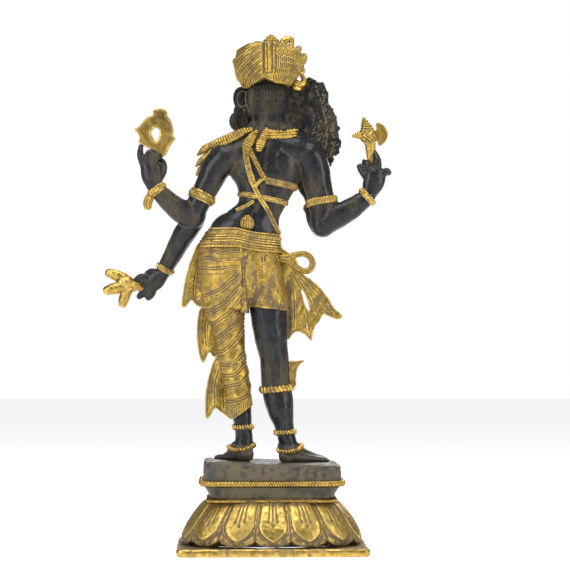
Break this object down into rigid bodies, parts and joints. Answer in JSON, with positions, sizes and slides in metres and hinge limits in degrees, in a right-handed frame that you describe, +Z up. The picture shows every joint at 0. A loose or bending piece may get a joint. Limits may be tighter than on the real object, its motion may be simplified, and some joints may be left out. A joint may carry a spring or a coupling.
{
  "type": "standing four-armed deity statue",
  "caption": "Two-tone cast brass figure seen as half woman, half man, with raised arms holding emblems, on a lotus pedestal with a square base plate.",
  "frame": {"origin": "under the middle of the whole figure's bounding box, on the surface it stands on", "axes": "+Z up; the figure faces -Y, and +X is its own left, the woman's side"},
  "size_m": [0.2566, 0.1294, 0.4576],
  "materials": {
    "gilded_brass": "polished warm brass, engraved, with grey-brown residue in the grooves",
    "blackened_brass": "chemically blackened brass, satin, with tan dust rubbed into the hollows",
    "plain_brass": "unpolished turned brass"
  },
  "bodies": {
    "root": {"base_plate": "gilded_brass", "lotus_skirt": "gilded_brass", "lower_bead_moulding": "gilded_brass", "upper_bead_moulding": "gilded_brass", "waist_belt": "gilded_brass", "sari": "gilded_brass", "dhoti": "gilded_brass", "centre_pleat": "gilded_brass", "crown": "gilded_brass", "crown_finial": "gilded_brass", "crown_crescent": "gilded_brass", "right_earring": "gilded_brass", "chest_band_lower": "gilded_brass", "chest_band_upper": "gilded_brass", "back_straps": "gilded_brass", "waist_strip": "gilded_brass", "back_medallion": "gilded_brass", "nape_collar": "gilded_brass", "shoulder_strand": "gilded_brass", "necklace": "gilded_brass", "left_armlet": "gilded_brass", "right_armlet": "gilded_brass", "left_rear_bracelet": "gilded_brass", "left_front_bracelet": "gilded_brass", "right_rear_bracelet": "gilded_brass", "right_front_bracelet": "gilded_brass", "knee_band": "gilded_brass", "right_upper_anklet": "gilded_brass", "left_upper_anklet": "gilded_brass", "right_lower_anklet": "gilded_brass", "left_lower_anklet": "gilded_brass", "left_sash_upper": "gilded_brass", "left_sash_middle": "gilded_brass", "left_sash_lower": "gilded_brass", "bow_loop": "gilded_brass", "sash_tails": "gilded_brass", "loop_emblem": "gilded_brass", "flower": "gilded_brass", "battle_axe": "gilded_brass", "pedestal_neck": "blackened_brass", "plinth_slab": "blackened_brass", "right_foot": "blackened_brass", "left_foot": "blackened_brass", "right_leg": "blackened_brass", "left_shin": "blackened_brass", "torso": "blackened_brass", "head": "blackened_brass", "hair_fan": "blackened_brass", "left_earring": "blackened_brass", "left_upper_arm": "blackened_brass", "right_upper_arm": "blackened_brass", "left_rear_forearm": "blackened_brass", "left_front_forearm": "blackened_brass", "right_rear_forearm": "blackened_brass", "right_front_forearm": "blackened_brass", "left_washer": "plain_brass", "right_washer": "plain_brass", "left_nut": "plain_brass", "right_nut": "plain_brass"}
  },
  "joints": []
}
